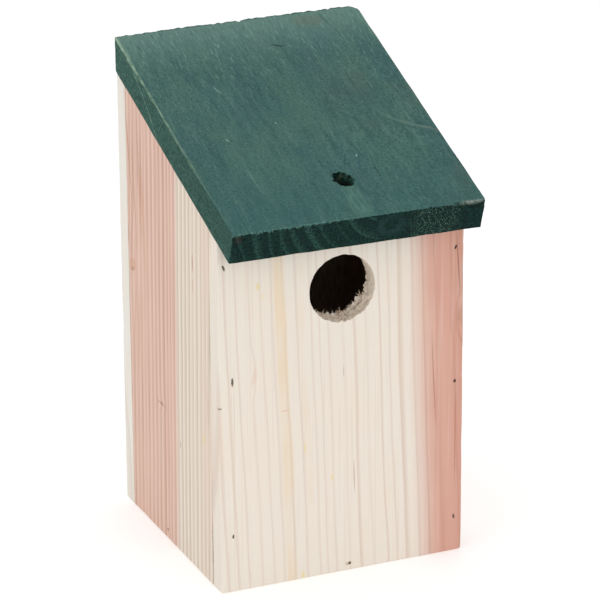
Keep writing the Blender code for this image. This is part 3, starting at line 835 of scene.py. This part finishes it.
def entrance_radius(angles, depths):
    """The drilled wall: a rough rim outside, and wood torn out ragged inside, most of all at the bottom."""
    ring = np.stack([np.cos(angles) * ENTRANCE_RADIUS, np.sin(angles) * ENTRANCE_RADIUS, depths], axis=1)
    inside = np.clip(-depths / (10 * MM), 0, 1)
    torn = np.clip(1.35 * np.cos(angles + math.radians(75)) - 0.25, 0, 1)
    fuzz = 0.1 * MM * smooth_noise(ring, 1.0 * MM, 31) + 0.12 * MM * smooth_noise(ring, 3.2 * MM, 32)
    tear = 1.3 * smooth_noise(ring, 3.0 * MM, 33) + 1.2 * smooth_noise(ring, 1.6 * MM, 34) - 0.3
    return ENTRANCE_RADIUS + fuzz * (1 + 2 * torn) + tear * inside**2 * (0.08 + torn) * MM


def make_front():
    low = (FRONT_LOW.x, FRONT_LOW.y, 0)
    high = (FRONT_HIGH.x, FRONT_HIGH.y - SEAM, underside(0, FRONT_HIGH.y))
    piece = make_board("front_board_wood", low, high, front_wood(), 5)
    reach = (14 * MM, 4 * MM)
    bore = rough_bore("entrance_bore", ENTRANCE, (0, -1, 0), reach, entrance_radius, 220, 0.45 * MM)
    carve(piece, [bore, *slot_cutters(FRONT_SLOTS, (0, -1, 0), 60)])
    shade(piece)
    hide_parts("front_board")
    return piece


def make_splinters(material):
    """Torn fibres that stand off the entrance's wall, thickest at the bottom and the lower right."""
    rng = np.random.default_rng(12)
    points, faces = [], []
    sides, levels = 4, 4
    for index in range(440):
        angle = math.radians(np.clip(rng.normal(-80, 26), -132, -34))
        at_rim = index % 6 == 0
        depth = (rng.uniform(8.4, 9.6) if at_rim else rng.uniform(0.6, 8.4)) * MM
        root = Vector((math.cos(angle), 0, math.sin(angle))) * (ENTRANCE_RADIUS + 0.25 * MM)
        root += ENTRANCE + Vector((0, depth, 0))
        inward = Vector((-math.cos(angle), 0, -math.sin(angle)))
        sideways = Vector((-math.sin(angle), 0, math.cos(angle)))
        lift = rng.uniform(0.8, 1.8) if at_rim else rng.uniform(0.15, 0.7)
        towards_face = abs(rng.normal(0, 0.35)) if at_rim else rng.normal(0, 0.7)
        heading = inward * lift + sideways * rng.normal(0, 0.8) - Vector((0, towards_face, 0))
        heading.normalize()
        curl = Vector(rng.normal(0, 0.5, 3))
        length = (rng.uniform(0.9, 3.2) if at_rim else rng.uniform(0.8, 2.6)) * MM
        width = (rng.uniform(0.3, 0.6) if at_rim else rng.uniform(0.08, 0.2)) * MM
        base = len(points)
        spread = heading.cross(inward).normalized()
        other = heading.cross(spread).normalized()
        for level in range(levels):
            share = level / levels
            centre = root + (heading * share + curl * share**2 * 0.5) * length
            for side in range(sides):
                turn = 2 * math.pi * side / sides
                offset = (spread * math.cos(turn) + other * math.sin(turn)) * width * (1 - share)
                points.append(centre + offset)
        points.append(root + (heading + curl * 0.5) * length)
        tip = len(points) - 1
        faces.append([base + side for side in range(sides)][::-1])
        for level in range(levels - 1):
            for side in range(sides):
                following = (side + 1) % sides
                start = base + level * sides
                faces.append([start + side, start + following, start + sides + following, start + sides + side])
        last = base + (levels - 1) * sides
        for side in range(sides):
            faces.append([last + side, last + (side + 1) % sides, tip])
    piece = new_piece("entrance_splinters", points, faces, material)
    bm = bmesh.new()
    bm.from_mesh(piece.data)
    bmesh.ops.recalc_face_normals(bm, faces=bm.faces)
    bm.to_mesh(piece.data)
    bm.free()
    return piece


def make_side(name, side, material, slots):
    edges = sorted((side * FRONT_HIGH.x, side * (FRONT_HIGH.x - 10 * MM)))
    low = (edges[0], FRONT_HIGH.y + SEAM, 0)
    high = (edges[1], BACK_LOW.y - SEAM, underside(0, BACK_LOW.y))
    piece = make_board(name + "_wood", low, high, material, 20 + side)
    for vertex in piece.data.vertices:
        front = max(0, 1 - (vertex.co.y - low[1]) / (6 * MM))
        vertex.co.y += CRACK * front * max(0, 1 - vertex.co.z / CRACK_HEIGHT)
    carve(piece, slot_cutters(slots, (side, 0, 0), 80 + side))
    shade(piece)
    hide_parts(name)
    return piece


def rounded_block(name, low, high, corner):
    """A cutter: a block whose four edges along Y are rounded."""
    low, high = Vector(low), Vector(high)
    bm = bmesh.new()
    bmesh.ops.create_cube(bm, size=1)
    bmesh.ops.scale(bm, vec=high - low, verts=bm.verts)
    bmesh.ops.translate(bm, vec=(low + high) / 2, verts=bm.verts)
    along_y = [edge for edge in bm.edges if abs(edge.verts[0].co.y - edge.verts[1].co.y) > MM]
    bmesh.ops.bevel(bm, geom=along_y, offset=corner, segments=8, profile=0.5, affect="EDGES")
    mesh = bpy.data.meshes.new(name)
    bm.to_mesh(mesh)
    bm.free()
    piece = bpy.data.objects.new(name, mesh)
    bpy.context.scene.collection.objects.link(piece)
    return piece


def make_back():
    low = (BACK_LOW.x, BACK_LOW.y + SEAM, 0)
    high = (BACK_HIGH.x, BACK_HIGH.y, underside(0, BACK_HIGH.y))
    piece = make_board("back_board_wood", low, high, back_wood(), 9)
    rim = Vector((0.3 * MM, 0, 0.3 * MM))
    rebate_low = PLATE_LOW - rim - Vector((0, 0.3 * MM, 0))
    rebate_high = PLATE_HIGH + rim + Vector((0, 5 * MM, 0))
    middle = (PLATE_LOW + PLATE_HIGH) / 2
    pocket_low = (-7 * MM, rebate_low.y - 5 * MM, middle.z - 10.5 * MM)
    pocket_high = (7 * MM, BACK_HIGH.y, middle.z + 10.5 * MM)
    rebate = rounded_block("rebate", rebate_low, rebate_high, 6.3 * MM)
    pocket = rounded_block("pocket", pocket_low, pocket_high, 6 * MM)
    carve(piece, [rebate, pocket, *slot_cutters(BACK_SLOTS, (0, 1, 0), 70)])
    shade(piece)
    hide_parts("back_board")
    return piece


def make_floor_board():
    low = (FLOOR_LOW.x, FLOOR_LOW.y, 0)
    piece = make_board("floor_board_wood", low, tuple(FLOOR_HIGH), floor_wood(), 15, sloping=False)
    shade(piece)
    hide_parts("floor_board")
    return piece


def roof_wear(points):
    """Moves a roof board's points for its chipped ends and its rounded back corner. The points are across, along
    the slope and out of it."""
    across, along, out = points.T
    top = np.clip(out / ROOF_THICKNESS * 1.6 - 0.6, 0, 1)
    back = np.clip((along - ROOF_LENGTH + 3 * MM) / (3 * MM), 0, 1)
    front = np.clip(1 - along / (2.5 * MM), 0, 1)
    ragged = smooth_noise(points, 3.0 * MM, 41) * 0.5 * MM
    notches = 0
    for place, width, depth in ((0.5, 0.9, 1.5), (46, 0.9, 1.0), (-8, 1.5, 0.5), (22, 2, 0.4)):
        notches = notches + depth * MM * np.exp(-(((across / MM - place) / width) ** 2))
    crown = 0.7 * MM * np.exp(-(((across / MM - 16) / 22) ** 2))
    along = along - back * top * (ragged + notches - crown)
    torn = np.clip(smooth_noise(points, 2.6 * MM, 42) + 0.1, 0, 1.2)
    where = np.clip((across / MM - 8) / 30, 0, 1) + np.clip((-across / MM - 44) / 6, 0, 1) * 0.8
    chip = torn * where * 0.9 * MM
    along = along + front * top * chip
    out = out - front * top * chip * 0.8
    return np.stack([across, along, out], axis=1)


def round_upright_corner(points, centre, radius):
    """Rounds one corner of a board, seen from above: the square beyond the centre becomes a quarter disc."""
    offset = points[:, :2] - centre
    beyond = (offset > 0).all(axis=1)
    length = np.linalg.norm(offset, axis=1)
    reach = offset.max(axis=1)
    scale = np.where(beyond, reach / np.maximum(length, 1e-9), 1)
    points[:, :2] = centre + offset * scale[:, None]
    return points


def screw_hole_radius(angles, depths):
    """The torn hole over the roof screw, from the screw's head up: wider and more ragged towards the top."""
    ring = np.stack([np.cos(angles) * 4 * MM, np.sin(angles) * 4 * MM, depths * 0.6], axis=1)
    rise = np.clip(depths / (2.5 * MM), 0, 1)
    stretched = 0.8 * MM * np.cos(2 * (angles - math.radians(125)))
    torn = 0.8 * MM * smooth_noise(ring, 2.2 * MM, 51) + 0.25 * MM * smooth_noise(ring, 0.9 * MM, 52)
    return SCREW_HOLE_RADIUS + rise * (0.75 * MM + stretched + torn)


def make_roof():
    low = np.array((-ROOF_HALF_WIDTH - 0.2 * MM, 0, 0))
    high = np.array((ROOF_HALF_WIDTH + 0.4 * MM, ROOF_LENGTH, ROOF_THICKNESS))
    sides = [
        graded(low[0], high[0], 4 * MM, 0.9 * MM),
        graded(low[1], high[1], 3 * MM, 1.2 * MM),
        graded(low[2], high[2], 1.8 * MM, 1.0 * MM),
    ]
    points, faces = lattice_box(sides)
    wear = 0.8 + 0.4 * smooth_noise(points, 18 * MM, 43)
    points = round_arrises(points, low, high, ROOF_ARRIS * np.clip(wear, 0.5, 1.4))
    corner = 4.2 * MM
    points = round_upright_corner(points, high[:2] - corner, corner)
    points = roof_wear(points)
    points[:, 2] += 0.05 * MM * smooth_noise(points * (1, 0.12, 1), 2.5 * MM, 44)
    upright_end = points[:, 2] * math.tan(ROOF_SLOPE)
    points[:, 1] += upright_end * (points[:, 1] / ROOF_LENGTH)
    axes = np.array([(1, 0, 0), ALONG_SLOPE, OUT_OF_SLOPE])
    points = points @ axes + np.array(ROOF_FRONT)
    points[:, 2] -= roof_sag(points[:, 0], points[:, 1])
    piece = new_piece("roof_board_wood", points, faces, roof_stain(), "roof")
    hole = rough_bore("screw_hole", SCREW_TOP, Z, (0.7 * MM, 12 * MM), screw_hole_radius, 72, 0.5 * MM)
    shank = rough_bore(
        "shank_hole", SCREW_TOP, Z, (30 * MM, 5 * MM), lambda angles, depths: np.full(len(angles), 2.3 * MM), 24, 5 * MM
    )
    carve(piece, [shank, hole])
    shade(piece)
    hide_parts("roof_board")
    return piece


def finish_metal():
    """The steel pieces whose modelled shape shows: rounded edges and a worked surface."""
    screw_metal = steel("screw_steel", linear(30, 40, 30), linear(12, 16, 12), 0.6, 0.3, spangled=0.02)
    hanger_screw_metal = steel("hanger_screw_steel", linear(150, 146, 138), linear(84, 74, 60), 0.32, 0.3)
    pin_metal = steel("pin_steel", linear(160, 160, 158), linear(110, 104, 96), 0.3, 0.25)
    zinc_metal = steel("zinc", linear(178, 182, 186), linear(134, 136, 136), 0.3, 0.25)
    metals = (
        ("roof_screw", screw_metal),
        ("left_hanger_screw", hanger_screw_metal),
        ("right_hanger_screw", hanger_screw_metal),
        ("left_roof_pin", pin_metal),
        ("right_roof_pin", pin_metal),
        ("hanger_plate", zinc_metal),
    )
    for node, metal in metals:
        piece = NODES[node]
        piece.data.materials.clear()
        piece.data.materials.append(metal)
        bevel = piece.modifiers.new("Worn edge", "BEVEL")
        bevel.width = 0.12 * MM
        bevel.segments = 2
        bevel.limit_method = "ANGLE"
        bevel.angle_limit = math.radians(40)


# ---------------------------------------------------------------- stage


def make_camera():
    azimuth, elevation = CAMERA_AZIMUTH, CAMERA_ELEVATION
    outward = Vector(
        (math.sin(azimuth) * math.cos(elevation), -math.cos(azimuth) * math.cos(elevation), math.sin(elevation))
    )
    camera = bpy.data.objects.new("camera", bpy.data.cameras.new("camera"))
    bpy.context.scene.collection.objects.link(camera)
    camera.data.lens = CAMERA_LENS
    camera.data.sensor_width = 36
    camera.data.clip_start = 0.05
    camera.location = CAMERA_TARGET + outward * CAMERA_DISTANCE
    roll = Matrix.Rotation(CAMERA_ROLL, 3, "Z").to_quaternion()
    camera.rotation_euler = (outward.to_track_quat("Z", "Y") @ roll).to_euler()
    bpy.context.scene.camera = camera


def soft_light(name, location, size, power, target=(0, 0, 0.11)):
    light = bpy.data.lights.new(name, "AREA")
    light.shape = "DISK"
    light.size = size
    light.energy = power
    lamp = bpy.data.objects.new(name, light)
    lamp.location = location
    lamp.rotation_euler = (Vector(location) - Vector(target)).to_track_quat("Z", "Y").to_euler()
    bpy.context.scene.collection.objects.link(lamp)


def make_stage():
    bm = bmesh.new()
    bmesh.ops.create_grid(bm, x_segments=1, y_segments=1, size=6)
    mesh = bpy.data.meshes.new("floor")
    bm.to_mesh(mesh)
    bm.free()
    floor = bpy.data.objects.new("floor", mesh)
    floor.location.z = -0.02 * MM
    bpy.context.scene.collection.objects.link(floor)
    material = bpy.data.materials.new("pale_floor")
    material.use_nodes = True
    shader = material.node_tree.nodes["Principled BSDF"]
    shader.inputs["Base Color"].default_value = (0.9, 0.9, 0.9, 1)
    shader.inputs["Emission Color"].default_value = (1, 1, 1, 1)
    shader.inputs["Emission Strength"].default_value = 0.29
    shader.inputs["Roughness"].default_value = 0.8
    mesh.materials.append(material)

    world = bpy.data.worlds.new("studio")
    world.use_nodes = True
    world.node_tree.nodes["Background"].inputs["Color"].default_value = (1, 1, 1, 1)
    world.node_tree.nodes["Background"].inputs["Strength"].default_value = 0.62
    bpy.context.scene.world = world
    soft_light("key", (0.25, -2.0, 0.9), 1.2, 6.1)
    soft_light("left_fill", (-1.8, -0.7, 1.0), 1.2, 5.6)
    soft_light("top", (0, 0.1, 2.0), 1.4, 8.6)
    bpy.context.scene.view_settings.view_transform = "Standard"


brad_metal = steel("brad_steel", linear(96, 90, 82), linear(48, 38, 30), 0.45, 0.3)
torn = torn_wood()

make_front()
make_splinters(torn)
make_back()
make_side("left_side_board", -1, left_side_wood(), LEFT_SLOTS)
make_side("right_side_board", 1, right_side_wood(), RIGHT_SLOTS)
make_floor_board()
make_roof()
for slots, outward in (
    (FRONT_SLOTS, (0, -1, 0)),
    (BACK_SLOTS, (0, 1, 0)),
    (LEFT_SLOTS, (-1, 0, 0)),
    (RIGHT_SLOTS, (1, 0, 0)),
):
    for node, (_, _, turn) in slots.items():
        make_brad(node, outward, turn, brad_metal)
finish_metal()
make_camera()
make_stage()
